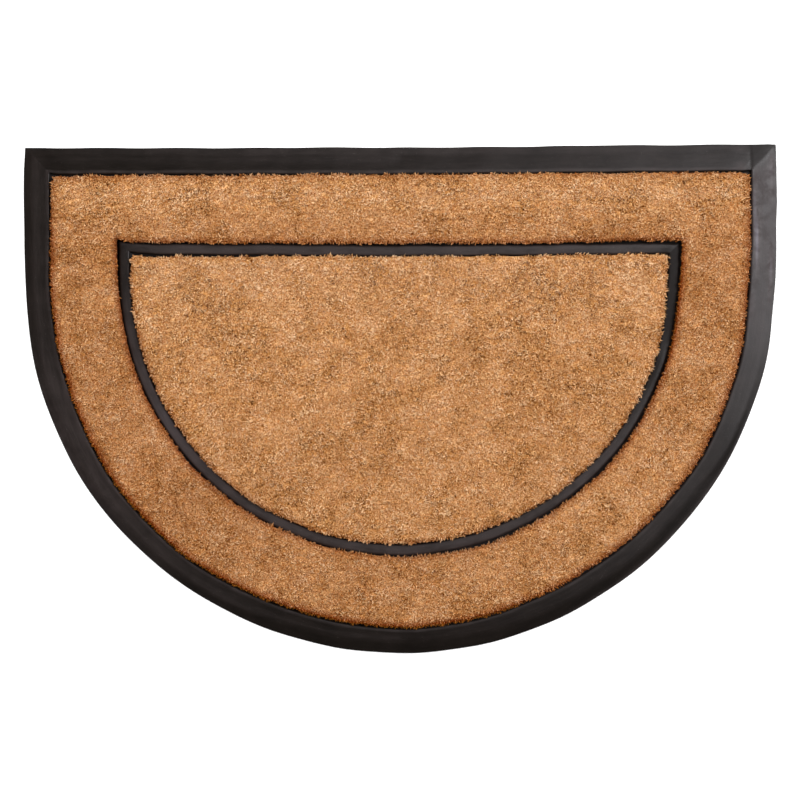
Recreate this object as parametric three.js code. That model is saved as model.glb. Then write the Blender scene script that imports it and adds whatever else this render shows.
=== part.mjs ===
// Half-round doormat: two pads of coir pile bedded in the pockets of one moulded rubber tray.
// Millimetres, +Z up. X runs along the straight edge, and +Y points from the round side to it.
// The origin lies on the floor, under the middle of the mat.

import * as THREE from 'three';

// Driving dimensions

const mat = {
  width: 914.4,        // the straight edge, corner to corner
  sides: 158,          // length of the straight sides, before the round begins
  backing: 2.6,        // sheet of rubber under the pads
};

const border = {
  width: 31,           // from the outer edge to the pile
  lip: 1.8,            // thickness at the outer edge
  lipEdge: 0.8,        // rounding of that edge
  bevel: 15,           // width of the slope that a foot runs up
  bevelSag: 0.3,       // how far the slope hangs hollow
  bevelTop: 6.2,
  crest: 7,            // height of the soft ridge along the middle
  crestInset: 19,
  inner: 6.6,          // height beside the pile
  edge: 1.4,           // rounding beside the pile
};

const rib = {
  inset: 116,          // from the mat's outer edge to the rib
  width: 14,
  height: 6.1,
  edge: 1.8,           // rounding along both sides
};

const pile = {
  gap: 1,              // between the coir and the rubber beside it
  seat: 0.3,           // between the pad and the backing under it
  wall: 9.4,           // height to which the sides stand upright
  shoulder: 12.7,      // height where the sheared top begins
  shoulderWidth: 2.4,
  top: 14.2,
  rimWidth: 9,         // strip inside the edge where the top dips
  lanes: 4,            // strips across the outer pad's top
};

// The trimmed edge of the pile is uneven: tufts stand in and out of line, and up and down.
const tuft = { reach: 0.6, rise: 0.7, clear: 0.1 };

// Broad low lumps in the sheared top
const lumps = { broad: 0.4, narrow: 0.3 };

// The straight edge runs slightly uphill to the right, from just left of the middle.
const lift = { from: -20, to: 457, rise: 4.3, fadeFrom: -60 };

// The rib's straight bar bows gently.
const bow = { depth: 0.9, middle: 40, length: 640, at: 42, reach: 55 };

// The whole moulding wanders a little from true.
const wander = { across: 0.35, acrossEvery: 118, along: 0.3, alongEvery: 93 };

// Steps along each stretch of the outline, counter-clockwise from the right end of the straight edge
const steps = { straightEdge: 44, side: 8, round: 84 };

const rubber = { color: 0x37332f, roughness: 0.62, metalness: 0 };
const coir = { color: 0xc08f5c, roughness: 0.95, metalness: 0 };

// The outline, and how it lies

const radius = mat.width / 2;

// The middle of the D, towards which the rings inside the rib shrink
const middle = { x: 0, y: -0.27 * radius };

const stretches = [
  { steps: steps.straightEdge, place: (f, inset) => [(radius - inset) * (1 - 2 * f), mat.sides - inset] },
  { steps: steps.side, place: (f, inset) => [inset - radius, (mat.sides - inset) * (1 - f)] },
  { steps: steps.round, place: (f, inset) => roundPlace(f, radius - inset) },
  { steps: steps.side, place: (f, inset) => [radius - inset, (mat.sides - inset) * f] },
];

function roundPlace(f, r) {
  const angle = Math.PI * (1 + f);
  return [r * Math.cos(angle), r * Math.sin(angle)];
}

function smooth(low, high, x) {
  const t = Math.min(Math.max((x - low) / (high - low), 0), 1);
  return t * t * (3 - 2 * t);
}

// Every ring of the rubber and of the coir is moved alike, so their gaps stay as drawn.
function laid(x, y) {
  const along = Math.max(0, (x - lift.from) / (lift.to - lift.from));
  const uphill = lift.rise * along * smooth(lift.fadeFrom, mat.sides, y);
  const nearBar = Math.exp(-(((y - bow.at) / bow.reach) ** 2)) * (1 - smooth(bow.at, mat.sides, y));
  const bowed = -bow.depth * nearBar * Math.cos((2 * Math.PI * (x - bow.middle)) / bow.length);
  const sway = wander.across * Math.sin((2 * Math.PI * y) / wander.acrossEvery + x / radius);
  const swell = wander.along * Math.sin((2 * Math.PI * x) / wander.alongEvery + y / mat.sides);
  return [x + sway, y + uphill + bowed + swell];
}

// A ring of places at an inset from the outer edge; a fine one has twice the steps.
function outlineAt(inset, fine = false) {
  const places = [];
  for (const stretch of stretches) {
    const count = stretch.steps * (fine ? 2 : 1);
    for (let i = 0; i < count; i += 1) {
      places.push(stretch.place(i / count, inset));
    }
  }
  return places;
}

// A repeatable number from -1 to 1 for the tuft at this step of a rim.
function unevenness(step, rim) {
  const value = Math.sin(step * 12.9898 + rim * 78.233) * 43758.5453;
  return 2 * (value - Math.floor(value)) - 1;
}

function pileTop(x, y) {
  const broad = lumps.broad * Math.sin(x / 37 + y / 54);
  const narrow = lumps.narrow * Math.sin(x / 21 - y / 29 + 1);
  return pile.top + broad + narrow;
}

// Draws each place towards its neighbours, which rounds the corners and leaves straight runs alone.
function cornersRounded(places) {
  const count = places.length;
  return places.map(([x, y], i) => {
    const [before, after] = [places[(i + count - 1) % count], places[(i + 1) % count]];
    return [(before[0] + 2 * x + after[0]) / 4, (before[1] + 2 * y + after[1]) / 4];
  });
}

// A closed skin, sewn from rings that run counter-clockwise seen from above

class Skin {
  constructor() {
    this.points = [];
    this.triangles = [];
  }

  add(x, y, z) {
    this.points.push(...laid(x, y), z);
    return this.points.length / 3 - 1;
  }

  ring(places, height) {
    return places.map(([x, y], i) => this.add(x, y, typeof height === 'function' ? height(x, y, i) : height));
  }

  // Joins ring a to ring b, where one may have twice the points of the other.
  strip(a, b) {
    const count = Math.min(a.length, b.length);
    const da = a.length / count;
    const db = b.length / count;
    for (let i = 0; i < count; i += 1) {
      const [a0, a1] = [a[i * da], a[((i + 1) * da) % a.length]];
      const [b0, b1] = [b[i * db], b[((i + 1) * db) % b.length]];
      if (da > 1) {
        const between = a[i * da + 1];
        this.triangles.push(a0, between, b0, between, b1, b0, between, a1, b1);
      } else if (db > 1) {
        const between = b[i * db + 1];
        this.triangles.push(a0, between, b0, a0, a1, between, a1, b1, between);
      } else {
        this.triangles.push(a0, a1, b1, a0, b1, b0);
      }
    }
  }

  sew(rings) {
    for (let i = 1; i < rings.length; i += 1) {
      this.strip(rings[i - 1], rings[i]);
    }
  }

  // Closes a ring with a fan round the middle of the D, facing up or down.
  cap(ring, z, up) {
    const hub = this.add(middle.x, middle.y, z);
    ring.forEach((point, i) => {
      const next = ring[(i + 1) % ring.length];
      this.triangles.push(hub, up ? point : next, up ? next : point);
    });
  }

  mesh(name, finish) {
    const geometry = new THREE.BufferGeometry();
    geometry.setAttribute('position', new THREE.Float32BufferAttribute(this.points, 3));
    geometry.setIndex(this.triangles);
    geometry.computeVertexNormals();
    const mesh = new THREE.Mesh(geometry, new THREE.MeshStandardMaterial(finish));
    mesh.name = name;
    return mesh;
  }
}

// Rubber tray: border, outer pocket, rib and centre pocket in one moulding

function trayProfile() {
  const floor = mat.backing;
  const far = rib.inset + rib.width;
  return [
    { inset: 0, height: 0 },
    { inset: 0, height: border.lip },
    { inset: border.lipEdge, height: border.lip + border.lipEdge },
    { inset: border.bevel / 2, height: (border.lip + border.lipEdge + border.bevelTop) / 2 - border.bevelSag },
    { inset: border.bevel, height: border.bevelTop },
    { inset: border.crestInset, height: border.crest },
    { inset: border.width - border.edge, height: border.inner },
    { inset: border.width, height: border.inner - border.edge },
    { inset: border.width, height: floor },
    { inset: rib.inset, height: floor },
    { inset: rib.inset, height: rib.height - rib.edge },
    { inset: rib.inset + rib.edge, height: rib.height },
    { inset: far - rib.edge, height: rib.height },
    { inset: far, height: rib.height - rib.edge },
    { inset: far, height: floor },
  ];
}

function rubberTray() {
  const skin = new Skin();
  const rings = trayProfile().map((row) => skin.ring(outlineAt(row.inset), row.height));
  skin.cap(rings[0], 0, false);
  skin.sew(rings);
  skin.cap(rings.at(-1), mat.backing, true);
  return skin.mesh('rubber_tray', rubber);
}

// Coir pads

// A fine ring whose tufts stand in and out of line
function raggedAt(inset, rim) {
  const near = outlineAt(inset - tuft.reach, true);
  const far = outlineAt(inset + tuft.reach, true);
  return near.map(([x, y], i) => {
    const share = (1 + unevenness(i, rim)) / 2;
    return [x + (far[i][0] - x) * share, y + (far[i][1] - y) * share];
  });
}

// One side of a pad, from its foot up to the sheared top. An outer side has its pad at larger insets,
// and its corners are rounded; an inner side keeps its corners, which follow the rib's.
function pileRim(skin, foot, outer, rim) {
  const inward = outer ? 1 : -1;
  const shaped = (inset, seed) => {
    const places = raggedAt(inset, rim + seed);
    return outer ? cornersRounded(places) : places;
  };
  const tufted = (height, seed) => (x, y, i) => height + tuft.rise * unevenness(i, rim + seed);
  return [
    skin.ring(outlineAt(foot), mat.backing + pile.seat),
    skin.ring(shaped(foot + inward * (tuft.reach + tuft.clear), 0.1), tufted(pile.wall, 0.2)),
    skin.ring(shaped(foot + inward * pile.shoulderWidth, 0.3), tufted(pile.shoulder, 0.4)),
    skin.ring(outlineAt(foot + inward * pile.rimWidth), pileTop),
  ];
}

function outerPile() {
  const skin = new Skin();
  const outerFoot = border.width + pile.gap;
  const innerFoot = rib.inset - pile.gap;
  const outside = pileRim(skin, outerFoot, true, 1);
  const inside = pileRim(skin, innerFoot, false, 2).reverse();
  const first = outerFoot + pile.rimWidth;
  const last = innerFoot - pile.rimWidth;
  const top = [];
  for (let lane = 1; lane < pile.lanes; lane += 1) {
    top.push(skin.ring(outlineAt(first + ((last - first) * lane) / pile.lanes), pileTop));
  }
  skin.sew([...outside, ...top, ...inside, outside[0]]);
  return skin.mesh('coir_outer_pile', coir);
}

// Each row is a ring of the centre pad's top: its size beside the rim's, and how many steps it skips.
const centreRings = [
  { share: 0.87, every: 1 },
  { share: 0.74, every: 2 },
  { share: 0.6, every: 2 },
  { share: 0.46, every: 4 },
  { share: 0.31, every: 4 },
  { share: 0.16, every: 8 },
];

function centrePile() {
  const skin = new Skin();
  const foot = rib.inset + rib.width + pile.gap;
  const rim = pileRim(skin, foot, true, 3);
  const around = outlineAt(foot + pile.rimWidth);
  const inner = centreRings.map((row) => {
    const kept = around.filter((place, i) => i % row.every === 0);
    const shrunk = kept.map(([x, y]) => [
      middle.x + (x - middle.x) * row.share,
      middle.y + (y - middle.y) * row.share,
    ]);
    return skin.ring(shrunk, pileTop);
  });
  skin.cap(rim[0], mat.backing + pile.seat, false);
  skin.sew([...rim, ...inner]);
  skin.cap(inner.at(-1), pileTop(middle.x, middle.y), true);
  return skin.mesh('coir_centre_pile', coir);
}

// The mat, moved so that its box stands centred on the origin

const doormat = new THREE.Group();
doormat.add(rubberTray(), outerPile(), centrePile());
const box = new THREE.Box3().setFromObject(doormat);
doormat.position.set(-(box.min.x + box.max.x) / 2, -(box.min.y + box.max.y) / 2, 0);

export default doormat;
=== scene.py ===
import math

import bpy
import numpy as np
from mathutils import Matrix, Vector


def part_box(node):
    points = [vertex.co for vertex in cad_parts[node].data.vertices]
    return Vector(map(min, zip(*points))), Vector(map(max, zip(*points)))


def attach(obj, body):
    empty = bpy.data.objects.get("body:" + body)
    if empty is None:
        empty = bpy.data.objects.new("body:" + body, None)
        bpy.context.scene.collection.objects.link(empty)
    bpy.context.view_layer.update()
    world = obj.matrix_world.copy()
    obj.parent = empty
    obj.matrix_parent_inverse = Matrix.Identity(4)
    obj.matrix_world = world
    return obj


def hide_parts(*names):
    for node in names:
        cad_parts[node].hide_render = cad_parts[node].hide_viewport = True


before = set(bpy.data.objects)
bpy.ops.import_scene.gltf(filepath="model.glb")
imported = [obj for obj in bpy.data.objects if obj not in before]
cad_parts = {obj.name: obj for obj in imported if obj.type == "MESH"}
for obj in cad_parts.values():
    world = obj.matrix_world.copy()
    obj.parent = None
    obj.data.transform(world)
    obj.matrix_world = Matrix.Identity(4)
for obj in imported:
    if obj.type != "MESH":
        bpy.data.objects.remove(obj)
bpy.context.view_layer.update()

mm = 0.001
print("frame loaded")


# How the mat lies. The sizes repeat the solids' own, in metres.

matSizes = {
    "radius": 457.2 * mm,
    "sides": 158 * mm,       # straight part of the two sides
    "border": 31 * mm,
    "ribInset": 116 * mm,
    "cadSteps": (44, 8, 84, 8),   # points of the solids' outline on each stretch
}

unevenness = {
    "lift": 4.3 * mm,        # the straight edge runs uphill to the right
    "liftFrom": -20 * mm,
    "liftFadeFrom": -60 * mm,
    "bow": 0.9 * mm,         # sag of the rib's straight bar
    "bowMiddle": 40 * mm,
    "bowLength": 640 * mm,
    "bowAt": 42 * mm,
    "bowReach": 55 * mm,
    "across": 0.35 * mm,
    "acrossEvery": 118 * mm,
    "along": 0.3 * mm,
    "alongEvery": 93 * mm,
    "pinch": 0.0035,         # how far the sides draw in where the round begins, as a share of x
    "pinchAt": -25 * mm,
    "pinchReach": 45 * mm,
}

# How far each line of the moulding strays inward, in millimetres. "straight" goes by millimetres from the
# left end of its straight part, and "round" by degrees from the right, where 90 is the bottom.
# The pile and the border beside it share the middle of their way round.
sharedRound = (
    (6, 0.9), (18, 1.4), (30, 0), (42, 1.5), (54, 2.8), (66, 2.7), (78, 0.1), (90, -0.9), (102, 0.9),
    (114, 1.1), (126, -2.7), (144, -2.9), (156, -0.8), (162, 0.9), (170, -0.5), (180, -1.6), (184, -0.8),
)
drifts = {
    "edge": {
        "straight": ((0, 0), (20, -0.2), (262, -0.2), (335, -0.8), (408, -1), (481, -0.4), (627, -0.4),
                     (700, -1.2), (772, -0.6), (904, -0.7), (914, 0)),
        "round": ((-19, 0), (-15, -0.5), (-11, -1.7), (-8, -1), (0, -0.7), (6, 0.5), (42, 0.5), (66, 0),
                  (102, 0.5), (126, -0.2), (138, -1.9), (150, -1.7), (162, -0.8), (179, -0.2), (185, -1.2),
                  (196, -1.1), (199, 0)),
    },
    "border": {
        "straight": ((0, 2), (35, 1.5), (90, 1.3), (240, 1.4), (290, 0.3), (450, 0.4), (520, 0.6), (596, 0),
                     (669, 1.2), (742, 0.4), (791, 0.8), (848, 1.5)),
        "round": ((-11, -0.4), (-7, -1.2), (-3, 0.4), *sharedRound, (190, -0.4), (193, 0.4), (196, 2)),
    },
    "wall": {
        "straight": ((0, 0), (12, 1.5), (840, 1.4), (852, 0.2)),
        "round": ((-15, 0), (-7, -1), (-3, 0.4), *sharedRound, (195, 0)),
    },
    "rib": {
        "straight": ((0, -1.8), (40, 1.1), (640, 1.3), (684, 1.5)),
        "round": ((-5, 1.5), (15, 2.6), (35, 3.4), (65, 3.8), (90, 3), (125, 1.4), (155, 0.6), (168, -0.4),
                  (180, -1.8)),
    },
    "ribOutside": {
        "straight": ((0, -3), (12, 0.2), (73, 0.9), (146, 1.2), (220, 0.1), (293, 0.4), (366, -0.9),
                     (440, -0.1), (512, 1.1), (585, -0.2), (684, -1.1)),
        "round": ((-5, -0.8), (0, 0.5), (6, 1.8), (18, 1.7), (30, 1.3), (42, 0.5), (54, 2.3), (66, 0.6),
                  (78, 0.9), (90, 2.5), (114, 2.3), (126, 1.2), (138, -0.3), (150, 1), (162, 0.4),
                  (172, -0.3), (180, -2.6), (185, -3)),
    },
    "ribInside": {
        "straight": ((0, -3), (15, 1.3), (56, 1.1), (129, 0.8), (202, -1), (275, -0.2), (348, -0.7),
                     (421, -1.1), (494, -0.8), (568, -1.2), (648, -0.8)),
        "round": ((-4, -1.2), (0, 0.2), (30, 0.6), (42, 0.9), (54, 1.6), (66, 2.2), (78, 2.6), (90, 1.7),
                  (102, 0.5), (114, -0.2), (138, -1.1), (150, 0.2), (162, -1.2), (174, -2.6), (180, -3)),
    },
}


def smoothStep(low, high, x):
    t = np.clip((x - low) / (high - low), 0, 1)
    return t * t * (3 - 2 * t)


def laid(x, y):
    u, radius, sides = unevenness, matSizes["radius"], matSizes["sides"]
    along = np.maximum(0, (x - u["liftFrom"]) / (radius - u["liftFrom"]))
    uphill = u["lift"] * along * smoothStep(u["liftFadeFrom"], sides, y)
    nearBar = np.exp(-(((y - u["bowAt"]) / u["bowReach"]) ** 2)) * (1 - smoothStep(u["bowAt"], sides, y))
    bowed = -u["bow"] * nearBar * np.cos(math.tau * (x - u["bowMiddle"]) / u["bowLength"])
    sway = u["across"] * np.sin(math.tau * y / u["acrossEvery"] + x / radius)
    swell = u["along"] * np.sin(math.tau * x / u["alongEvery"] + y / sides)
    return x + sway, y + uphill + bowed + swell


def evenSteps(counts):
    # station = (stretch, fraction of it); the stretches run counter-clockwise from the top right corner
    stretch = np.repeat(np.arange(4), counts)
    fraction = np.concatenate([np.arange(n) / n for n in counts])
    return stretch, fraction


def stationsEvery(spacing, cornerSpacing=None, cornerReach=0.0):
    # evenly spaced, and closer near the straight edge's two corners if a spacing is given for them
    radius, sides = matSizes["radius"], matSizes["sides"]
    lengths = (2 * radius, sides, math.pi * radius, sides)
    stretch, fraction = evenSteps([round(length / spacing) for length in lengths])
    if cornerSpacing is None:
        return stretch, fraction
    fromCorner = np.minimum(fraction, 1 - fraction) * 2 * radius
    keep = (stretch != 0) | (fromCorner > cornerReach)
    fine = np.arange(0, cornerReach, cornerSpacing) / (2 * radius)
    ends = np.concatenate([fine, 1 - fine[1:][::-1]])
    stretch = np.concatenate([stretch[keep], np.zeros(len(ends), int)])
    fraction = np.concatenate([fraction[keep], ends])
    order = np.lexsort((fraction, stretch))
    return stretch[order], fraction[order]


def outlineAt(inset, stations):
    # inset may be one number or one for each station
    stretch, f = stations
    radius, sides = matSizes["radius"], matSizes["sides"]
    half, top = radius - inset, sides - inset
    angle = math.pi * (1 + f)
    x = np.choose(stretch, [half * (1 - 2 * f), -half, half * np.cos(angle), half])
    y = np.choose(stretch, [top + 0 * f, top * (1 - f), half * np.sin(angle), top * f])
    return x, y


def findShift():
    x, y = laid(*outlineAt(0.0, evenSteps(matSizes["cadSteps"])))
    low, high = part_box("rubber_tray")
    return (low.x + high.x - x.min() - x.max()) / 2, (low.y + high.y - y.min() - y.max()) / 2


shift = findShift()


def placed(x, y):
    u = unevenness
    pinched = 1 - u["pinch"] * np.exp(-(((y - u["pinchAt"]) / u["pinchReach"]) ** 2))
    x, y = laid(x, y)
    return x * pinched + shift[0], y + shift[1]


def awayFrom(stations):
    # the direction that faces out of the mat at each station
    x0, y0 = outlineAt(0.0, stations)
    x1, y1 = outlineAt(1 * mm, stations)
    away = np.stack([x0 - x1, y0 - y1], 1)
    return away / np.linalg.norm(away, axis=1, keepdims=True)


def bySide(away, sides):
    # one value for each side of the mat, blended by the way that a point's side faces
    x, y = away.T
    facing = {"left": -x, "right": x, "top": y, "bottom": -y}
    return sum(value * np.maximum(facing[side], 0) ** 2 for side, value in sides.items())


def turnOf(x, y):
    # degrees round from the right; 90 is the bottom and 180 the left
    return (np.degrees(np.arctan2(-y, x)) + 90) % 360 - 90


def alongLine(tables, inset, stations):
    x, y = outlineAt(inset, stations)
    straight = np.interp((x - x.min()) / mm, *zip(*tables["straight"]))
    turned = np.interp(turnOf(x, y), *zip(*tables["round"]))
    return np.where(stations[0] == 0, straight, turned)


def ripple(x, y, size, seed):
    # a smooth wandering field, about -1 to 1, with features of that size
    total = 0
    turns = np.random.default_rng(seed).uniform(0, math.tau, (5, 2))
    for i, (turn, phase) in enumerate(turns):
        pitch = size * (1.7 + 0.45 * i)
        total = total + np.sin(math.tau * (x * math.cos(turn) + y * math.sin(turn)) / pitch + phase)
    return total / 2.4


# Rings of points, sewn into closed meshes

class Skin:
    def __init__(self):
        self.points, self.faces, self.count = [], [], 0

    def ring(self, x, y, z):
        x, y = placed(x, y)
        self.points.append(np.stack([x, y, z + 0 * x], 1))
        self.count += len(x)
        return np.arange(self.count - len(x), self.count)

    def sew(self, rings):
        for a, b in zip(rings, rings[1:]):
            self.faces.append(np.stack([a, np.roll(a, -1), np.roll(b, -1), b], 1))

    def cap(self, ring, up):
        self.faces.append((ring if up else ring[::-1]).reshape(1, -1))

    def fan(self, ring, tip):
        self.faces.append(np.stack([ring, np.roll(ring, -1), np.full(len(ring), tip)], 1))

    def mesh(self, name):
        made = bpy.data.meshes.new(name)
        faces = [face for group in self.faces for face in group.tolist()]
        made.from_pydata(np.concatenate(self.points).tolist(), [], faces)
        made.update()
        return made


def addObject(name, mesh):
    made = bpy.data.objects.new(name, mesh)
    bpy.context.scene.collection.objects.link(made)
    return made


# Node trees, written as sums

class Wire:
    def __init__(self, graph, socket):
        self.graph, self.socket = graph, socket

    def math(self, operation, *others):
        values = dict(enumerate((self, *others)))
        return self.graph.node("ShaderNodeMath", {"operation": operation}, values)

    def __add__(self, other):
        return self.math("ADD", other)

    def __sub__(self, other):
        return self.math("SUBTRACT", other)

    def __mul__(self, other):
        return self.math("MULTIPLY", other)

    def __truediv__(self, other):
        return self.math("DIVIDE", other)

    def __rtruediv__(self, other):
        return self.graph.node("ShaderNodeMath", {"operation": "DIVIDE"}, {0: other, 1: self})

    __radd__, __rmul__ = __add__, __mul__

    def fade(self, low, high, start=0.0, end=1.0):
        values = {"Value": self, "From Min": low, "From Max": high, "To Min": start, "To Max": end}
        return self.graph.node("ShaderNodeMapRange", {"interpolation_type": "SMOOTHSTEP"}, values)

    def vector(self, operation, other=None, scale=None):
        values = {0: self}
        if other is not None:
            values[1] = other
        if scale is not None:
            values["Scale"] = scale
        return self.graph.node("ShaderNodeVectorMath", {"operation": operation}, values)

    def ramp(self, *stops):
        return self.graph.node("ShaderNodeValToRGB", {"stops": stops}, {"Fac": self})

    def parts(self):
        outputs = self.graph.node("ShaderNodeSeparateXYZ", {}, {"Vector": self}).socket.node.outputs
        return [Wire(self.graph, socket) for socket in outputs]


class Graph:
    def __init__(self, tree):
        self.tree = tree

    def node(self, kind, settings=None, values=None, output=0):
        made = self.tree.nodes.new(kind)
        for name, value in (settings or {}).items():
            if name == "stops":
                self.fillRamp(made.color_ramp, value)
            else:
                setattr(made, name, value)
        for key, value in (values or {}).items():
            socket = self.pick(made.inputs, key)
            if isinstance(value, Wire):
                self.tree.links.new(value.socket, socket)
            else:
                socket.default_value = value
        return None if output is None else Wire(self, self.pick(made.outputs, output))

    @staticmethod
    def pick(sockets, key):
        if isinstance(key, int):
            return sockets[key]
        return next(s for s in sockets if s.name == key and s.enabled)

    @staticmethod
    def fillRamp(ramp, stops):
        while len(ramp.elements) < len(stops):
            ramp.elements.new(0.5)
        for element, (position, colour) in zip(ramp.elements, stops):
            element.position, element.color = position, colour

    def mix(self, factor, a, b, blend="MIX"):
        settings = {"data_type": "RGBA", "blend_type": blend, "clamp_factor": True}
        return self.node("ShaderNodeMix", settings, {"Factor": factor, "A": a, "B": b}, "Result")

    def noise(self, where, size, detail=2.0, roughness=0.5, distortion=0.0):
        values = {
            "Vector": where, "Scale": 1 / size, "Detail": detail, "Roughness": roughness,
            "Distortion": distortion,
        }
        return self.node("ShaderNodeTexNoise", {}, values, "Fac")

    def attribute(self, name, output="Fac"):
        return self.node("ShaderNodeAttribute", {"attribute_name": name}, {}, output)


def colour(red, green, blue):
    # a colour as the eye names it, 0 to 255, in the linear numbers that nodes take
    def linear(c):
        c = c / 255
        return c / 12.92 if c <= 0.04045 else ((c + 0.055) / 1.055) ** 2.4
    return linear(red), linear(green), linear(blue), 1.0


def newMaterial(name):
    made = bpy.data.materials.new(name)
    made.use_nodes = True
    made.node_tree.nodes.clear()
    graph = Graph(made.node_tree)
    here = graph.node("ShaderNodeTexCoord", {}, {}, "Object")
    return made, graph, here


def finishMaterial(graph, values):
    shader = graph.node("ShaderNodeBsdfPrincipled", {}, values, "BSDF")
    graph.node("ShaderNodeOutputMaterial", {}, {"Surface": shader}, None)


# Rubber

rubberLook = {
    # near black, for painted shade in the hollows and other shaded places
    "hollow": colour(14, 11, 9),
    "deep": colour(15, 11, 8),
    "worn": colour(25, 20, 17),
    "haze": colour(64, 54, 53),
    "dust": colour(112, 103, 102),
    "chalk": colour(122, 120, 134),
    "roughness": (0.34, 0.47, 0.6),  # bare, clean and hazy
    "shadedRoughness": 0.8,
    "streak": 3.2 * mm,
    "streakLength": 9.0,             # times as long as wide
    "smear": 13 * mm,
    "clouds": 55 * mm,
    "grain": 0.7 * mm,
    "speck": 1.3 * mm,
    "specular": 0.35,
    "bump": {"Strength": 0.35, "Distance": 0.25 * mm},
}


def rubberMaterial():
    look = rubberLook
    made, graph, here = newMaterial("mouldedRubber")
    along = 1 / look["streakLength"]
    flow = graph.attribute("flow", "Vector").vector("MULTIPLY", (along, along, 1))
    # the dust attribute holds dust together with painted light and shade: highlights on the lips, and below
    # nothing, shade
    dust = graph.attribute("dust")
    clouds = graph.noise(here, look["clouds"], 3.0, 0.55).fade(0.35, 0.65)
    smears = graph.noise(here, look["smear"], 4.0, 0.6, distortion=0.5).fade(0.3, 0.7)
    streaks = graph.noise(flow, look["streak"], 3.0, 0.55).fade(0.3, 0.7)
    grain = graph.noise(here, look["grain"], 2.0, 0.6)
    wear = clouds * 0.35 + streaks * 0.4 + smears * 0.25
    base = graph.mix(wear, look["deep"], look["worn"])
    base = graph.mix(dust * (wear * 0.6 + 0.45), base, look["haze"])
    base = graph.mix(dust.fade(0.6, 1.9), base, look["chalk"])
    # dust below nothing is painted shade: the hollows beside the pile, the seam, the top right corner and the
    # rib's right side go near black and lose their sheen
    base = graph.mix(dust.fade(-0.8, 0.0, 1.0, 0.0), base, look["hollow"])
    specks = graph.noise(here, look["speck"], 1.0, 0.5).fade(0.7, 0.78) * (smears * 0.5 + dust * 0.5)
    base = graph.mix(specks * 0.5, base, look["dust"])
    bare, clean, hazy = look["roughness"]
    rough = dust.fade(-0.3, -0.05, look["shadedRoughness"], bare) + dust.fade(0.0, 0.2, 0.0, clean - bare)
    rough = rough + wear * dust.fade(0.0, 1.0) * (hazy - clean) * 2
    rough = rough + (smears - 0.5) * dust.fade(0.1, 0.5, 0.0, 0.2)
    relief = grain * 0.5 + smears * 0.5 + streaks * 0.5
    bump = graph.node("ShaderNodeBump", {}, {**look["bump"], "Height": relief}, "Normal")
    finishMaterial(graph, {
        "Base Color": base, "Roughness": rough, "Normal": bump, "Specular IOR Level": look["specular"],
    })
    return made


trayLook = {
    "girth": 2666.7 * mm,    # the length of the mat's edge
    "spacing": 4 * mm,
    "cornerSpacing": 1.5 * mm,
    "cornerReach": 48 * mm,
    "widest": 2.4 * mm,      # between rings where the moulding is plain
    "bevel": 10 * mm,        # width of the outer bevel, but for the round stretch where it is wider
    "wideBevel": 16 * mm,
    "wideAt": 73,            # the middle of that stretch, in degrees round from the right
    "wideReach": (36, 46),
    "mitreRound": {"left": 26 * mm, "right": 13 * mm},
    # how far the bevel flattens into one slope, by place, as in "drifts"
    "soft": {
        "straight": ((0, 0.1), (70, 0.7), (914, 0.8)),
        "round": ((-19, 0.8), (0, 0.8), (20, 0.3), (36, 0), (150, 0), (199, 0.1)),
    },
    # how much of each shift acts, by millimetres in from the edge
    "shares": {
        "edge": ((0, 1), (2, 1), (12, 0)),
        "bevel": ((1, 0), (10, 1), (28, 0)),
        "wall": ((16, 0), (29.4, 1), (31.3, 1), (60, 0)),
        "rib": ((115, 0), (116.3, 1), (130.3, 1), (131, 0)),
    },
    "crestWander": 0.5 * mm,
    "crestWanderSize": 70 * mm,
    "slopeAbove": 1.6 * mm,  # the outer slope starts at this height and ends at this inset
    "slopeWithin": 29 * mm,
    "raisedFrom": (2.7 * mm, 5 * mm),   # heights between which the heave sets in
    "swell": 0.16 * mm,      # how far the top of the moulding heaves
    "swellSize": 34 * mm,
    "seamDepth": 0.25 * mm,
    "seamWidth": 1.3 * mm,
    "cornerDip": 0.9,        # how deep the corner beyond the seam lies, for each unit of the seam's depth
    "cornerDipReach": ((0, 4 * mm), (-5 * mm, 14 * mm)),
    "roundSteps": 4,
}

trayProfile = (   # millimetres; the mould's corners, each with the reach of its rounding
    {"inset": 0, "height": 0, "round": 0},
    {"inset": 0, "height": 1.9, "round": 0.6},
    {"inset": 10, "height": 5.6, "round": 3},
    {"inset": 29.4, "height": 7, "round": 1.4},
    {"inset": 31, "height": 6.2, "round": 0.7},
    {"inset": 31.3, "height": 2.6, "round": 0.3},
    {"inset": 115.7, "height": 2.6, "round": 0.3},
    {"inset": 116.3, "height": 3.4, "round": 0.6},
    {"inset": 118.3, "height": 6, "round": 1.4},
    {"inset": 123, "height": 6.3, "round": 1},
    {"inset": 128.7, "height": 6, "round": 1.2},
    {"inset": 129.9, "height": 3.4, "round": 0.6},
    {"inset": 130.3, "height": 2.6, "round": 0.3},
)


def roundedProfile(rows, steps, widest):
    corners = np.array([[row["inset"], row["height"]] for row in rows], float) * mm
    made = [corners[0]]
    for i in range(1, len(rows) - 1):
        before, corner, after = corners[i - 1], corners[i], corners[i + 1]
        cut = rows[i]["round"] * mm
        into, out = before - corner, after - corner
        start = corner + into * min(0.5, cut / np.linalg.norm(into))
        end = corner + out * min(0.5, cut / np.linalg.norm(out))
        gap = np.linalg.norm(start - made[-1])
        between = range(1, math.ceil(gap / widest)) if start[1] > 3 * mm else ()
        made += [made[-1] + (start - made[-1]) * n / math.ceil(gap / widest) for n in between]
        for t in np.linspace(0, 1, steps):
            made.append((1 - t) ** 2 * start + 2 * t * (1 - t) * corner + t * t * end)
    made.append(corners[-1])
    return np.array(made)


def aboveMitre(x, y):
    # how far a point of the top strip lies beyond the right seam, and above the corner's mitre
    radius, sides = matSizes["radius"], matSizes["sides"]
    past = x - (radius - matSizes["border"])
    above = (radius - x) - (sides - y)
    return past, above


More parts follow.
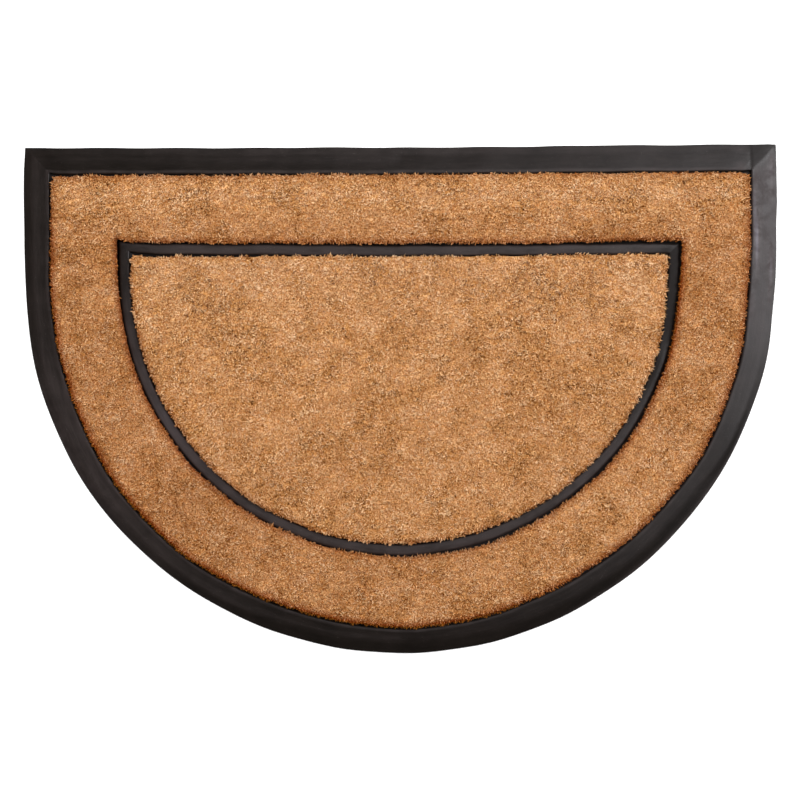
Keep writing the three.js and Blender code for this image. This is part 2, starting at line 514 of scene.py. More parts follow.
def seamDip(x, y):
    # the border's top strip has a seam beside the upper right corner of the pile
    onStrip = y > matSizes["sides"] - matSizes["border"]
    past, above = aboveMitre(x, y)
    groove = np.exp(-((past / trayLook["seamWidth"]) ** 2)) * onStrip
    acrossReach, upReach = trayLook["cornerDipReach"]
    corner = smoothStep(*acrossReach, past) * smoothStep(*upReach, above)
    return trayLook["seamDepth"] * np.maximum(trayLook["cornerDip"] * corner, groove)


def bentInset(inset, x, y, away, stations):
    # the edge, the bevel's width, the wall beside the pile and the rib all shift a little on the way round
    look = trayLook
    turn = np.degrees(np.arctan2(-away[:, 1], away[:, 0]))
    near, far = look["wideReach"]
    wide = smoothStep(far, near, np.abs(turn - look["wideAt"])) * (look["wideBevel"] - look["bevel"])
    share = {name: np.interp(inset / mm, *zip(*table)) for name, table in look["shares"].items()}
    edge = share["edge"] * alongLine(drifts["edge"], 0.0, stations)
    wall = share["wall"] * alongLine(drifts["wall"], matSizes["border"], stations)
    rib = share["rib"] * alongLine(drifts["rib"], matSizes["ribInset"], stations)
    wander = look["crestWander"] * ripple(x, y, look["crestWanderSize"], 3)
    return inset + share["bevel"] * (wide + wander) + (edge + wall + rib) * mm


def mitreDrop(x, y):
    # rounds the ridges where the strips meet: how much nearer the edge a point counts
    across, up = matSizes["radius"] - np.abs(x), matSizes["sides"] - y
    reach = np.where(x < 0, trayLook["mitreRound"]["left"], trayLook["mitreRound"]["right"])
    share = np.clip(0.5 + 0.5 * (across - up) / reach, 0, 1)
    return reach * share * (1 - share) * (y > 0)


dustAndShadingLook = {
    "usual": 0.2,
    # bands beside the edge, in millimetres in from it
    # the inner lip is paler, partly dust and partly a painted highlight
    "lip": {"at": 28.6, "width": 1.5, "strength": 0.2},
    "leftBand": {"at": 14, "width": 5, "strength": 0.08},
    # a painted highlight along the outer edge
    "edgeHighlight": {"at": 0.6, "width": 1.6, "strength": 1},
    "outerSmear": {"at": 6, "width": 2.6, "strength": 0.88},
    "innerSmear": {"at": 24.5, "width": 3.4, "strength": 1.1},
    "streakSize": 26 * mm,
    "smearedFrom": ((400 * mm, 425 * mm), (-60 * mm, 20 * mm)),   # across and up
    "flatFrom": (6 * mm, 11 * mm),
    "borderWithin": 60 * mm,
    "stripBelow": (32 * mm, 30 * mm),
    "ribFrom": (115 * mm, 117 * mm),
    # the top right corner beyond the seam and the seam's groove are painted darker, as shade
    "shadedCornerFrom": ((-1 * mm, 3 * mm), (-24 * mm, 10 * mm)),       # past the seam and above the mitre
    "corner": -0.22,
    "groove": -0.5,
    "grooveShadeWidth": 1.2 * mm,
    "sunkBelow": (5 * mm, 3.6 * mm),
    # by place, as in "drifts": dust on the rib, painted darker as shade on its right side; a painted
    # highlight along the outer edge; and, on the border, dust more than usual mixed with painted light and
    # shade that differ by side
    # the rib is walked pale, and painted darker on its right side as shade
    "rib": {
        "straight": ((0, 0.2), (60, 0.5), (650, 0.4), (684, -0.2)),
        "round": ((-5, -0.4), (8, -0.36), (25, 0.1), (40, 0.45), (125, 0.55), (150, 0.75), (165, 0.5),
                  (180, 0.1)),
    },
    # where the outer edge's painted highlight shows: on the lower right
    "edge": {
        "straight": ((0, 0), (914, 0)),
        "round": ((15, 0), (30, 0.5), (55, 0.5), (70, 0)),
    },
    "bevel": {
        "straight": ((0, -0.14), (300, 0), (600, 0), (848, -0.1)),
        "round": ((-19, 0.1), (8, -0.08), (25, -0.2), (41, -0.22), (105, -0.22), (123, -0.14), (139, 0),
                  (155, 0.27), (165, -0.05), (175, -0.12), (190, -0.16)),
    },
    "flat": {
        "straight": ((0, -0.22), (300, -0.16), (500, -0.12), (848, -0.14)),
        "round": ((-19, 0.25), (8, 0.02), (25, -0.16), (41, -0.08), (75, -0.12), (105, -0.16), (123, -0.08),
                  (139, 0.06), (155, 0.16), (170, -0.04), (180, -0.1)),
    },
}


def dustAndShadingOn(x, y, inset, height, stations):
    # the rib is walked pale and painted darker on its right side as shade; lips are paler, partly dust and
    # partly painted highlight; the outer edge gets a painted highlight on the lower right; the hollows, the
    # seam and the top right corner are painted dark as shade; elsewhere dust is mixed with painted light and
    # shade by place
    look, sides = dustAndShadingLook, matSizes["sides"]

    def band(name):
        rule = look[name]
        return rule["strength"] * np.exp(-(((inset / mm - rule["at"]) / rule["width"]) ** 2))

    def placedDustAndShading(name, at):
        return alongLine(look[name], at, stations)

    streaks = np.clip(0.5 + 0.5 * ripple(x * 3, y * 0.5, look["streakSize"], 31), 0, 1)
    low, high = look["stripBelow"]
    onStrip = smoothStep(sides - low, sides - high, y)
    dust = look["usual"] + band("lip") * (0.4 + streaks + 0.6 * onStrip) + band("leftBand") * (x < 0)
    across, up = look["smearedFrom"]
    smeared = smoothStep(*across, x) * smoothStep(*up, y)
    dust = dust + smeared * streaks * (band("outerSmear") + band("innerSmear"))
    onBorder = inset < look["borderWithin"]
    onFlat = smoothStep(*look["flatFrom"], inset) * onBorder
    # on the flat and the bevel, dust mixed with painted light and shade that differ by side
    dust = dust + onFlat * placedDustAndShading("flat", 20 * mm)
    dust = dust + (1 - onFlat) * onBorder * placedDustAndShading("bevel", 5 * mm)
    # the painted highlight along the outer edge
    dust = dust + band("edgeHighlight") * placedDustAndShading("edge", 1 * mm)
    # painted shade in the top right corner and along the seam
    past, above = aboveMitre(x, y)
    pastReach, aboveReach = look["shadedCornerFrom"]
    corner = smoothStep(*pastReach, past) * smoothStep(*aboveReach, above)
    groove = np.exp(-((past / look["grooveShadeWidth"]) ** 2)) * onStrip * (above > 0)
    dust = dust * (1 - corner) * (1 - groove) + look["corner"] * corner + look["groove"] * groove
    onRib = smoothStep(*look["ribFrom"], inset)
    # the rib: dust, with painted shade on its right side
    dust = dust * (1 - onRib) + placedDustAndShading("rib", matSizes["ribInset"]) * onRib
    # the hollows beside the pile are painted dark, as shade
    sunk = smoothStep(*look["sunkBelow"], height) * (inset > 30 * mm)
    return dust * (1 - sunk) - sunk


def makeTray():
    look = trayLook
    stations = stationsEvery(look["spacing"], look["cornerSpacing"], look["cornerReach"])
    skin, rings, dust, flow = Skin(), [], [], []
    away = awayFrom(stations)
    x, y = outlineAt(0.0, stations)
    around = math.tau * np.cumsum(np.hypot(x - np.roll(x, 1), y - np.roll(y, 1))) / look["girth"]
    profile = roundedProfile(trayProfile, look["roundSteps"], look["widest"])
    slope = profile[(profile[:, 1] > look["slopeAbove"]) & (profile[:, 0] < look["slopeWithin"])]
    reach = look["girth"] / math.tau
    for inset, height in profile:
        x, y = outlineAt(inset, stations)
        x, y = outlineAt(bentInset(inset, x, y, away, stations), stations)
        raised = smoothStep(*look["raisedFrom"], height)
        onSlope = (slope[0, 0] <= inset <= slope[-1, 0]) * (height > look["slopeAbove"])
        counted = inset - mitreDrop(x, y)
        bevelled = np.interp(counted, slope[:, 0], slope[:, 1])
        plain = np.interp(counted, slope[[0, -1], 0], slope[[0, -1], 1])
        sloped = bevelled + (plain - bevelled) * alongLine(look["soft"], inset, stations)
        heave = look["swell"] * ripple(x, y, look["swellSize"], 4) - seamDip(x, y)
        z = height + onSlope * (sloped - height) + raised * heave
        dust.append(dustAndShadingOn(x, y, inset, height, stations))
        flow.append(np.stack([reach * np.cos(around), reach * np.sin(around), inset + 0 * x], 1))
        rings.append(skin.ring(x, y, z))
    skin.cap(rings[0], False)
    skin.sew(rings)
    skin.cap(rings[-1], True)
    mesh = skin.mesh("rubberTray")
    # the "dust" attribute: dust together with painted light and shade
    mesh.attributes.new("dust", "FLOAT", "POINT").data.foreach_set("value", np.concatenate(dust))
    flow = np.concatenate(flow).astype(np.float32)
    mesh.attributes.new("flow", "FLOAT_VECTOR", "POINT").data.foreach_set("vector", flow.ravel())
    mesh.shade_smooth()
    return addObject("rubberTray", mesh)


rubber = rubberMaterial()
tray = makeTray()
tray.data.materials.append(rubber)
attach(tray, "root")
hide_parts("rubber_tray")
print("rubber tray:", len(tray.data.polygons), "faces")


# Coir: each pad is a brown bed with bristles standing in it

bedLook = {
    "spacing": 4.5 * mm,     # between the points of a ring
    "centreSpacing": 1.3,    # as many times that in the centre pad
    "lane": 6 * mm,          # between rings
    "top": 10.4 * mm,
    "lumps": 0.45 * mm,
    "tufts": 0.35 * mm,
    "tuftSize": 7 * mm,
    "cornerCut": 0.293,      # how far a rounded corner draws in, and along, as shares of its radius
    "cornerReach": 1.17,
    "centreAt": -0.27,       # the centre pad's middle, as a share of the mat's radius
    "innermost": 0.02,
    "hiddenBelow": 6.2 * mm,  # no bristles grow on faces lower than this, or that face down
    "hiddenTilt": -0.2,
    # painted light and shade on the pads, added to their rim value, where more is darker and redder and less
    # than nothing is paler: by millimetres from the mat's straight edge, and by degrees. The outer pad's top
    # strip fades into the round part between the two millimetres of "roundFrom".
    "centreShading": ((133, -0.07), (260, 0), (400, 0.08), (490, 0.02)),
    "straightShading": ((22, -0.02), (48, -0.06), (62, -0.22), (110, -0.28)),
    "outerShading": ((-19, 0.2), (0, 0.25), (30, 0.16), (50, 0.06), (75, 0.2), (110, 0.24), (135, 0.34),
                 (180, 0.23)),
    "roundFrom": (30, 110),
}

# A pad's rim: rows from the foot up, in millimetres from the foot. "out" is how far a bristle
# leans off the pad for each unit that it rises, and "rim" how red and dark it is painted, as shade where the
# pad falls away; "dark" sets that painted shade on each side.
rims = {
    "border": {
        "foot": 33.3 * mm, "corners": (3 * mm, 7 * mm),
        "lean": {"left": 1, "right": 1, "top": 1, "bottom": 1},
        "dark": {"left": 0.88, "right": 0.65, "top": 0.45, "bottom": 1.05},
        "ragged": {"left": 0.9 * mm, "right": 0.5 * mm, "top": 0.6 * mm, "bottom": 0.6 * mm},
        "rows": (
            {"in": 0, "height": 2.9, "out": 0.3, "rim": 1.2, "wild": 0},
            {"in": 0.2, "height": 7, "out": 0.32, "rim": 1.2, "wild": 1},
            {"in": 1.8, "height": 8.8, "out": 0.3, "rim": 1, "wild": 1},
            {"in": 4.5, "height": 10, "out": 0.16, "rim": 0.6, "wild": 0.5},
            {"in": 11, "height": 10.4, "out": 0.02, "rim": 0, "wild": 0},
        ),
    },
    "ribOutside": {
        "foot": 115.3 * mm, "corners": (0, 0),
        "lean": {"left": 0.5, "right": 1.2, "top": 1, "bottom": 1.4},
        "dark": {"left": 0.8, "right": 1.1, "top": 0.75, "bottom": 0.5},
        "ragged": {"left": 0.6 * mm, "right": 0.5 * mm, "top": 0.5 * mm, "bottom": 0.5 * mm},
        "rows": (
            {"in": 0, "height": 2.9, "out": 0.5, "rim": 1, "wild": 0},
            {"in": 0, "height": 7.2, "out": 0.7, "rim": 1, "wild": 1},
            {"in": 1.0, "height": 9.0, "out": 0.65, "rim": 0.85, "wild": 1},
            {"in": 3, "height": 10, "out": 0.4, "rim": 0.5, "wild": 0.5},
            {"in": 8, "height": 10.4, "out": 0.04, "rim": 0, "wild": 0},
        ),
    },
    "ribInside": {
        "foot": 132.9 * mm, "corners": (8 * mm, 3 * mm),
        "lean": {"left": 1, "right": 1, "top": 0.8, "bottom": 1},
        "dark": {"left": 0.9, "right": 0.4, "top": 0.1, "bottom": 0.8},
        "ragged": {"left": 0.5 * mm, "right": 0.5 * mm, "top": 0.3 * mm, "bottom": 0.5 * mm},
        "rows": (
            {"in": 0, "height": 2.9, "out": 0.3, "rim": 1, "wild": 0},
            {"in": 0.2, "height": 7.2, "out": 0.3, "rim": 0.9, "wild": 1},
            {"in": 1.6, "height": 9.2, "out": 0.28, "rim": 0.6, "wild": 1},
            {"in": 4, "height": 10.1, "out": 0.14, "rim": 0.3, "wild": 0.5},
            {"in": 8, "height": 10.4, "out": 0.02, "rim": 0, "wild": 0},
        ),
    },
}

bristleLook = {
    "width": 1.0 * mm,
    "height": 3.9 * mm,      # tips above the bed
    "lean": 0.8,
    "sweep": 0.5,
    "jitter": 0.5,
    "tuftSize": 7 * mm,
    "sweepSize": 34 * mm,
    "density": 560000.0,     # bristles in a square metre
    "thinning": (0.36, 0.46, 0.3, 1.12),   # clump noise from, to, and the share of bristles there
    "lengths": (0.78, 1.13),
    "widths": (0.7, 1.4),
    "calming": (0.1, 1.0, 1.0, 0.45),      # rim from, to, and the share of lean and jitter there
    "seed": 11,
}

coirColours = {
    # painted shade between the bed's strands
    "gap": colour(100, 52, 12),
    "bed": colour(200, 142, 80),
    "speck": colour(104, 54, 16),
    "dark": colour(211, 157, 99),
    "mid": colour(242, 202, 152),
    "light": colour(247, 215, 175),
    # painted light, for the paler parts of the pads
    "pale": colour(250, 231, 206),
    # painted shade low in the pile
    "root": colour(209, 156, 88),
    "ochre": colour(228, 194, 116),
    # painted shade on the pads' edges and walls
    "rim": colour(168, 92, 34),
    "wall": colour(124, 78, 22),
}

cloudLook = {
    "broad": 34 * mm,
    "fine": 9 * mm,
    "hue": 22 * mm,
    "hueFrom": (3.1, 1.7, 0.4),   # sets the clouds of hue apart from the clouds of tone
    "strand": 1.7 * mm,
    "strandRelief": {"Strength": 0.8, "Distance": 0.6 * mm},
}


def coirClouds(graph, here):
    # the same soft clouds on the bed and on the bristles
    broad = graph.noise(here, cloudLook["broad"], 3.0, 0.6).fade(0.32, 0.68)
    fine = graph.noise(here, cloudLook["fine"], 2.0, 0.5).fade(0.3, 0.7)
    return broad, fine


def bedMaterial():
    made, graph, here = newMaterial("coirBed")
    broad, fine = coirClouds(graph, here)
    strands = graph.noise(here, cloudLook["strand"], 3.0, 0.65, distortion=1.2)
    tone = strands.fade(0.3, 0.6) * 0.8 + broad * 0.12 + fine * 0.08
    # the dark between the bed's strands is painted shade
    base = tone.ramp((0.1, coirColours["gap"]), (0.75, coirColours["bed"]), (1.0, coirColours["mid"]))
    # painted shade on the pad's edges
    base = graph.mix(graph.attribute("rim") * 0.8, base, coirColours["rim"], "MULTIPLY")
    bump = graph.node("ShaderNodeBump", {}, {**cloudLook["strandRelief"], "Height": strands}, "Normal")
    finishMaterial(graph, {"Base Color": base, "Roughness": 0.95, "Normal": bump, "Specular IOR Level": 0.1})
    return made


def bristleMaterial():
    made, graph, here = newMaterial("coirBristle")
    c = coirColours
    broad, fine = coirClouds(graph, here)
    apart = here.vector("ADD", cloudLook["hueFrom"])
    hue = graph.noise(apart, cloudLook["hue"], 3.0, 0.6).fade(0.35, 0.65)
    tone = graph.attribute("shade") * 0.66 + broad * 0.22 + fine * 0.12
    # the tone is random, and its darkest part falls on the shortest bristles, as painted shade in the pile's
    # holes
    base = tone.ramp((0.175, c["speck"]), (0.24, c["dark"]), (0.44, c["mid"]), (0.86, c["light"]))
    # each bristle is painted darker and more saturated towards its root, as shade deep in the pile
    base = graph.mix(graph.attribute("tip").fade(0.1, 0.8, 1.0, 0.0), base, c["root"], "MULTIPLY")
    base = graph.mix(hue * 0.45, base, c["ochre"], "MULTIPLY")
    rim = graph.attribute("rim")
    # painted light: paler where the painted shading is below nothing
    base = graph.mix(rim.fade(-0.3, 0.0, 1.0, 0.0), base, c["pale"])
    # painted shade where the pads fall away, darkest on their walls
    base = graph.mix(rim * 0.8, base, c["rim"])
    base = graph.mix(rim.fade(0.9, 1.6), base, c["wall"])
    finishMaterial(graph, {"Base Color": base, "Roughness": 0.8, "Specular IOR Level": 0.03})
    return made


def lumpsAt(x, y):
    # the solids' own low lumps, and finer tufts
    broad = np.sin(x / (37 * mm) + y / (54 * mm))
    narrow = 0.75 * np.sin(x / (21 * mm) - y / (29 * mm) + 1)
    return bedLook["lumps"] * (broad + narrow) + bedLook["tufts"] * ripple(x, y, bedLook["tuftSize"], 8)


def footInset(side, stations):
    # the pad's foot, with its upper corners rounded
    rim, (stretch, f) = rims[side], stations
    width, top = 2 * (matSizes["radius"] - rim["foot"]), matSizes["sides"] - rim["foot"]
    far = np.full(len(f), 1.0)
    fromRight = np.choose(stretch, [width * f, far, far, top * (1 - f)])
    fromLeft = np.choose(stretch, [width * (1 - f), top * f, far, far])
    inset = rim["foot"] + alongLine(drifts[side], rim["foot"], stations) * mm
    for corner, distance in zip(rim["corners"], (fromLeft, fromRight)):
        reach = max(bedLook["cornerReach"] * corner, mm)
        inset = inset + bedLook["cornerCut"] * corner * np.clip(1 - distance / reach, 0, 1) ** 2
    return inset


class Bed(Skin):
    def __init__(self, stations, outer):
        super().__init__()
        self.stations, self.away, self.outer = stations, awayFrom(stations), outer
        self.stand, self.rim = [], []

    def row(self, x, y, z, out=0.0, rim=0.0):
        below = (matSizes["sides"] - y) / mm
        # painted light and shade by place
        if self.outer:
            straight = np.interp(below, *zip(*bedLook["straightShading"]))
            rounded = np.interp(turnOf(x, y), *zip(*bedLook["outerShading"]))
            rim = rim + straight + (rounded - straight) * smoothStep(*bedLook["roundFrom"], below)
        else:
            rim = rim + np.interp(below, *zip(*bedLook["centreShading"]))
        self.stand.append(np.column_stack([self.away * np.reshape(out, (-1, 1)), np.ones(len(x))]))
        self.rim.append(rim + 0 * x)
        return self.ring(x, y, z)

    def tip(self, x, y, z):
        # one point, for the last ring to close on
        self.stand.append([[0, 0, 1]])
        self.rim.append([0])
        return self.ring(np.array([x]), np.array([y]), z)[0]

    def edge(self, side, inward, seed):
        # rings from the foot up to the top of the pad
        rim, foot = rims[side], footInset(side, self.stations)
        x, y = outlineAt(foot, self.stations)
        wild = bySide(self.away, rim["ragged"]) * ripple(x, y, 5 * mm, seed)
        # how far the rim leans, and how strong its painted shade is, on each side
        lean, dark = bySide(self.away, rim["lean"]), bySide(self.away, rim["dark"])
        rings = []
        for row in rim["rows"]:
            step = row["in"] * mm + np.maximum(wild * row["wild"], -row["in"] * mm)
            x, y = outlineAt(foot + inward * step, self.stations)
            z = row["height"] * mm + (row["height"] > 8) * lumpsAt(x, y)
            rings.append(self.row(x, y, z, inward * row["out"] * lean, row["rim"] * dark))
        return rings

    def finish(self, name, patchOf):
        mesh = self.mesh(name)
        stand = np.concatenate(self.stand).astype(np.float32)
        mesh.attributes.new("stand", "FLOAT_VECTOR", "POINT").data.foreach_set("vector", stand.ravel())
        mesh.attributes.new("rim", "FLOAT", "POINT").data.foreach_set("value", np.concatenate(self.rim))
        centres = np.array([face.center for face in mesh.polygons])
        facing = np.array([face.normal.z for face in mesh.polygons])
        hidden = (centres[:, 2] < bedLook["hiddenBelow"]) | (facing < bedLook["hiddenTilt"])
        place = patchOf(centres)
        patch = np.where(hidden, -1, np.digitize(place, np.quantile(place[~hidden], (1 / 3, 2 / 3))))
        mesh.attributes.new("patch", "INT", "FACE").data.foreach_set("value", patch.astype(np.int32))
        mesh.shade_smooth()
        return addObject(name, mesh)


def topFrom(side, inward):
    # the inset at which a pad's rim ends and its plain top begins
    rim = rims[side]
    return rim["foot"] + inward * rim["rows"][-1]["in"] * mm


def makeOuterBed():
    look = bedLook
    bed = Bed(stationsEvery(look["spacing"]), True)
    outside = bed.edge("border", 1, 21)
    first, last = topFrom("border", 1), topFrom("ribOutside", -1)
    top = []
    for inset in np.linspace(first, last, round((last - first) / look["lane"]) + 1)[1:-1]:
        x, y = outlineAt(inset, bed.stations)
        top.append(bed.row(x, y, look["top"] + lumpsAt(x, y)))
    inside = bed.edge("ribOutside", -1, 22)[::-1]
    bed.sew([*outside, *top, *inside, outside[0]])
    return bed.finish("coirOuterBed", lambda centres: np.arctan2(centres[:, 0], -centres[:, 1] - 0.02))


def makeCentreBed():
    look = bedLook
    bed = Bed(stationsEvery(look["spacing"] * look["centreSpacing"]), False)
    outside = bed.edge("ribInside", 1, 23)
    x, y = outlineAt(topFrom("ribInside", 1), bed.stations)
    middle = look["centreAt"] * matSizes["radius"]
    top = []
    for share in np.linspace(1, look["innermost"], round(np.ptp(x) / 2 / look["lane"]))[1:]:
        sx, sy = x * share, middle + (y - middle) * share
        top.append(bed.row(sx, sy, look["top"] + lumpsAt(sx, sy)))
    rings = outside + top
    bed.cap(rings[0], False)
    bed.sew(rings)
    bed.fan(rings[-1], bed.tip(0, middle, look["top"] + lumpsAt(0, middle)))
    return bed.finish("coirCentreBed", lambda centres: centres[:, 0])


# Bristles

def bristleShapes():
    # slivers of width 1 and length 1, growing up from the origin, each bent its own way
    group = bpy.data.collections.new("bristleShapes")
    for number, bend in enumerate((0.25, 0.7, -1.2, 1.8)):
        points = [(0, 0, 0), (-0.5, 0.5 * bend, 0.42), (0.5, 0.5 * bend, 0.6), (0.15 * bend, -0.5 * bend, 1)]
        faces = [(0, 1, 2), (1, 3, 2), (0, 3, 1), (0, 2, 3)]
        if bend < 0:
            faces = [face[::-1] for face in faces]
        mesh = bpy.data.meshes.new(f"bristle{number}")
        mesh.from_pydata(points, [], faces)
        mesh.attributes.new("tip", "FLOAT", "POINT").data.foreach_set("value", [point[2] for point in points])
        group.objects.link(bpy.data.objects.new(f"bristle{number}", mesh))
    return group


bristleInputs = (
    ("Bed", "NodeSocketGeometry"),
    ("Shapes", "NodeSocketCollection"),
    ("Density", "NodeSocketFloat"),
    ("Height", "NodeSocketFloat"),
    ("Width", "NodeSocketFloat"),
    ("Lean", "NodeSocketFloat"),
    ("Sweep", "NodeSocketFloat"),
    ("Jitter", "NodeSocketFloat"),
    ("Tuft Size", "NodeSocketFloat"),
    ("Sweep Size", "NodeSocketFloat"),
    ("Patch", "NodeSocketInt"),
    ("Seed", "NodeSocketInt"),
    ("Material", "NodeSocketMaterial"),
)


def bristleTree():
    tree = bpy.data.node_groups.new("standingBristles", "GeometryNodeTree")
    for name, kind in bristleInputs:
        tree.interface.new_socket(name, in_out="INPUT", socket_type=kind)
    tree.interface.new_socket("Bristles", in_out="OUTPUT", socket_type="NodeSocketGeometry")
    graph = Graph(tree)
    group = tree.nodes.new("NodeGroupInput")
    given = {name: Wire(graph, group.outputs[name]) for name, kind in bristleInputs}
    look, seed = bristleLook, given["Seed"]

    def stored(name, kind):
        return graph.node("GeometryNodeInputNamedAttribute", {"data_type": kind}, {"Name": name}, "Attribute")

    def chance(low, high, salt, kind="FLOAT"):
        values = {"Min": low, "Max": high, "Seed": seed + float(salt)}
        return graph.node("FunctionNodeRandomValue", {"data_type": kind}, values, "Value")

    def drift(size, salt, strength):
        here = graph.node("GeometryNodeInputPosition")
        moved = here.vector("ADD", (0.37 * salt, 0.61 * salt, 0.0))
        values = {"Vector": moved, "Scale": 1.0 / size, "Detail": 1.0}
        field = graph.node("ShaderNodeTexNoise", {}, values, "Color")
        return field.vector("SUBTRACT", (0.5, 0.5, 0.5)).vector("SCALE", scale=strength * 4.0)

    # where the bristles stand: everywhere on this patch, but fewer between tufts
    mine = graph.node("FunctionNodeCompare", {"data_type": "INT", "operation": "EQUAL"},
                      {"A": stored("patch", "INT"), "B": given["Patch"]})
    clumpValues = {
        "Vector": graph.node("GeometryNodeInputPosition"), "Scale": 1.6 / given["Tuft Size"], "Detail": 2.0,
    }
    clumps = graph.node("ShaderNodeTexNoise", {}, clumpValues)
    scatter = {
        "Mesh": given["Bed"], "Selection": mine, "Seed": seed,
        "Density": given["Density"] * clumps.fade(*look["thinning"]),
    }
    method = {"distribute_method": "RANDOM"}
    points = graph.node("GeometryNodeDistributePointsOnFaces", method, scatter, "Points")
    points = graph.node("GeometryNodeStoreNamedAttribute", {"data_type": "FLOAT", "domain": "POINT"},
                        {"Geometry": points, "Name": "shade", "Value": chance(0.0, 1.0, 1)})
    # which way they lean: off the rim, with their tuft, with the sweep of the pile, and each its own way
    loose = chance((-1.0, -1.0, 0.0), (1.0, 1.0, 0.0), 2, "FLOAT_VECTOR")
    tufted, swept = drift(given["Tuft Size"], 1, given["Lean"]), drift(given["Sweep Size"], 2, given["Sweep"])
    wild = tufted.vector("ADD", swept).vector("ADD", loose.vector("SCALE", scale=given["Jitter"]))
    calm = stored("rim", "FLOAT").fade(*look["calming"])
    way = stored("stand", "FLOAT_VECTOR").vector("ADD", wild.vector("SCALE", scale=calm))
    across, along, up = way.parts()
    aimed = graph.node("ShaderNodeCombineXYZ", {}, {"X": across, "Y": along, "Z": 1.0})
    aimed = aimed.vector("NORMALIZE")
    rise = aimed.parts()[2]
    turned = graph.node("FunctionNodeAlignRotationToVector", {"axis": "Z"}, {"Vector": aimed})
    spin = graph.node("ShaderNodeCombineXYZ", {}, {"Z": chance(0.0, math.tau, 3)})
    turned = graph.node("FunctionNodeRotateRotation", {"rotation_space": "LOCAL"},
                        {"Rotation": turned, "Rotate By": spin})
    # the length is the same draw as "shade", so that tall bristles are pale and short ones, low in the pile,
    # are painted dark as shade
    length = given["Height"] * chance(*look["lengths"], 1) / rise
    width = given["Width"] * chance(*look["widths"], 5)
    scale = graph.node("ShaderNodeCombineXYZ", {}, {"X": width, "Y": width, "Z": length})
    shapes = graph.node("GeometryNodeCollectionInfo", {}, {
        "Collection": given["Shapes"], "Separate Children": True, "Reset Children": True,
    })
    pick = chance(0, 4, 6, "INT")
    made = graph.node("GeometryNodeInstanceOnPoints", {}, {
        "Points": points, "Instance": shapes, "Pick Instance": True, "Instance Index": pick,
        "Rotation": turned, "Scale": scale,
    })
    made = graph.node("GeometryNodeRealizeInstances", {}, {"Geometry": made})
    made = graph.node("GeometryNodeSetMaterial", {}, {"Geometry": made, "Material": given["Material"]})
    out = tree.nodes.new("NodeGroupOutput")
    tree.links.new(made.socket, out.inputs["Bristles"])
    return tree


def growBristles(name, bed, tree, values):
    grower = addObject(name + "Grower", bed.data)
    modifier = grower.modifiers.new("bristles", "NODES")
    modifier.node_group = tree
    identifiers = {item.name: item.identifier for item in tree.interface.items_tree if item.in_out == "INPUT"}
    for key, value in values.items():
        modifier[identifiers[key]] = value
    depsgraph = bpy.context.evaluated_depsgraph_get()
    mesh = bpy.data.meshes.new_from_object(grower.evaluated_get(depsgraph), depsgraph=depsgraph)
    bpy.data.objects.remove(grower)
    for spare in ("stand", "patch"):
        if spare in mesh.attributes:
            mesh.attributes.remove(mesh.attributes[spare])
    return addObject(name, mesh)


bedFinish, bristleFinish = bedMaterial(), bristleMaterial()
outerBed, centreBed = makeOuterBed(), makeCentreBed()
shapes, tree = bristleShapes(), bristleTree()
padPieces = {"outer": [], "centre": []}
for pad, bed in (("outer", outerBed), ("centre", centreBed)):
    bed.data.materials.append(bedFinish)
    for patch, part in enumerate(("Left", "Middle", "Right")):
        look = bristleLook
        piece = growBristles(f"coir{pad.title()}{part}", bed, tree, {
            "Shapes": shapes, "Density": look["density"], "Height": look["height"], "Width": look["width"],
            "Lean": look["lean"], "Sweep": look["sweep"], "Jitter": look["jitter"],
            "Tuft Size": look["tuftSize"], "Sweep Size": look["sweepSize"], "Patch": patch,
            "Seed": look["seed"] + 10 * patch + 40 * (pad == "centre"), "Material": bristleFinish,
        })
        padPieces[pad].append(piece)
        print(piece.name, len(piece.data.polygons), "triangles")

for pad, bed, node in (("outer", outerBed, "coir_outer_pile"), ("centre", centreBed, "coir_centre_pile")):
    for piece in (bed, *padPieces[pad]):
        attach(piece, "root")
    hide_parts(node)


def cutArea(inset):
    half, sides = matSizes["radius"] - inset, matSizes["sides"] - inset
    return 2 * half * sides + math.pi * half * half / 2


def cutSize(inset):
    half = matSizes["radius"] - inset
    return 2 * half, half + matSizes["sides"] - inset


outerCut, innerCut, centreCut = (rims[side]["foot"] for side in ("border", "ribOutside", "ribInside"))
cutSize(outerCut)
cutArea(outerCut) - cutArea(innerCut)
cutSize(centreCut)
cutArea(centreCut)
print("coir done")


# Floor, light and camera

studio = {
    "floor": colour(243, 243, 243),
    "floorSize": 8.0,
    "floorGlow": 0.3,
    "floorGap": 0.3 * mm,    # below the mat, so that the two faces don't flicker
    "cameraHeight": 1.9,
    "pixel": 1.2185 * mm,    # one pixel of the photograph, at the mat
    "framePixels": 800,
    "cameraAt": (-0.4 * mm, -1.3 * mm),
    "world": 0.05,
}

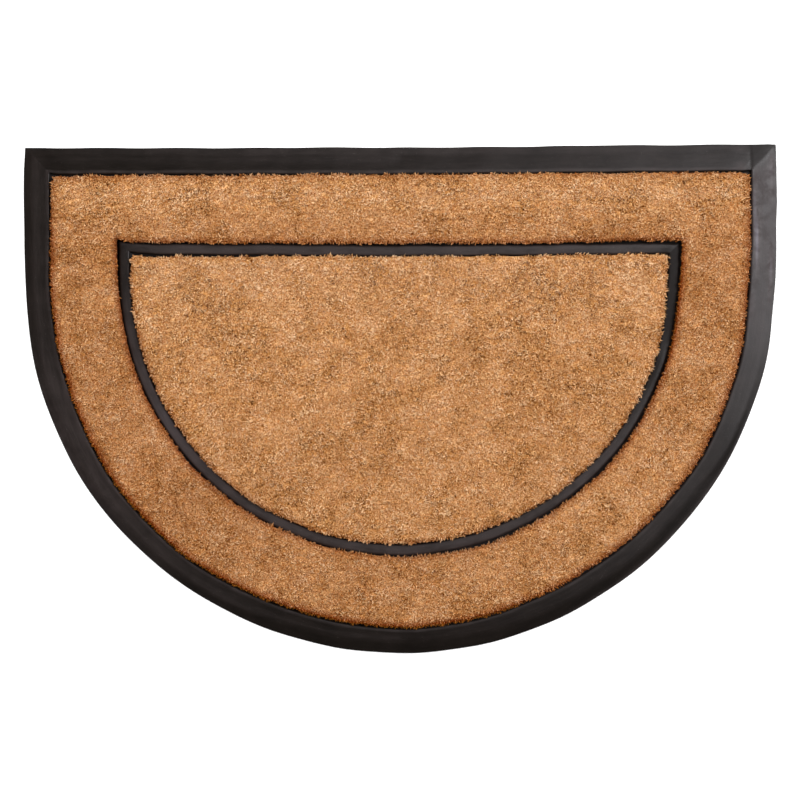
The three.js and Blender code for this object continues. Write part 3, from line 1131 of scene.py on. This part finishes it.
lamps = (
    {"name": "keyLight", "place": (2.0, 0.9, 2.1), "size": 1.7, "power": 44, "tint": (1, 1, 1),
     "diffuse": True, "glossy": True},
    {"name": "sheenLight", "place": (2.0, 0.9, 2.1), "size": 1.7, "power": 75, "tint": (1, 0.935, 1),
     "diffuse": False, "glossy": True},
    {"name": "fillLight", "place": (-0.6, 1.0, 2.6), "size": 3.8, "power": 147, "tint": (1, 1, 1),
     "diffuse": True, "glossy": False},
)


def makeFloor():
    half = studio["floorSize"] / 2
    mesh = bpy.data.meshes.new("floor")
    corners = [(-half, -half, 0), (half, -half, 0), (half, half, 0), (-half, half, 0)]
    mesh.from_pydata(corners, [], [(0, 1, 2, 3)])
    made, graph, here = newMaterial("paleFloor")
    finishMaterial(graph, {
        "Base Color": studio["floor"], "Roughness": 0.9, "Specular IOR Level": 0.1,
        "Emission Color": (1, 1, 1, 1), "Emission Strength": studio["floorGlow"],
    })
    mesh.materials.append(made)
    floor = addObject("floor", mesh)
    floor.location.z = -studio["floorGap"]


def makeLamps():
    for lamp in lamps:
        data = bpy.data.lights.new(lamp["name"], "AREA")
        data.energy, data.size, data.color = lamp["power"], lamp["size"], lamp["tint"]
        made = addObject(lamp["name"], data)
        made.location = lamp["place"]
        aim = -made.location
        made.rotation_euler = aim.to_track_quat("-Z", "Y").to_euler()
        made.visible_diffuse, made.visible_glossy = lamp["diffuse"], lamp["glossy"]


def makeCamera():
    data = bpy.data.cameras.new("camera")
    across = studio["pixel"] * studio["framePixels"]
    data.lens = data.sensor_width * studio["cameraHeight"] / across
    made = addObject("camera", data)
    made.location = (*studio["cameraAt"], studio["cameraHeight"])
    bpy.context.scene.camera = made


makeFloor()
makeLamps()
makeCamera()
world = bpy.data.worlds.new("studioWorld")
world.use_nodes = True
world.node_tree.nodes["Background"].inputs["Color"].default_value = (1, 1, 1, 1)
world.node_tree.nodes["Background"].inputs["Strength"].default_value = studio["world"]
bpy.context.scene.world = world
bpy.context.scene.view_settings.view_transform = "Standard"
print("studio done")
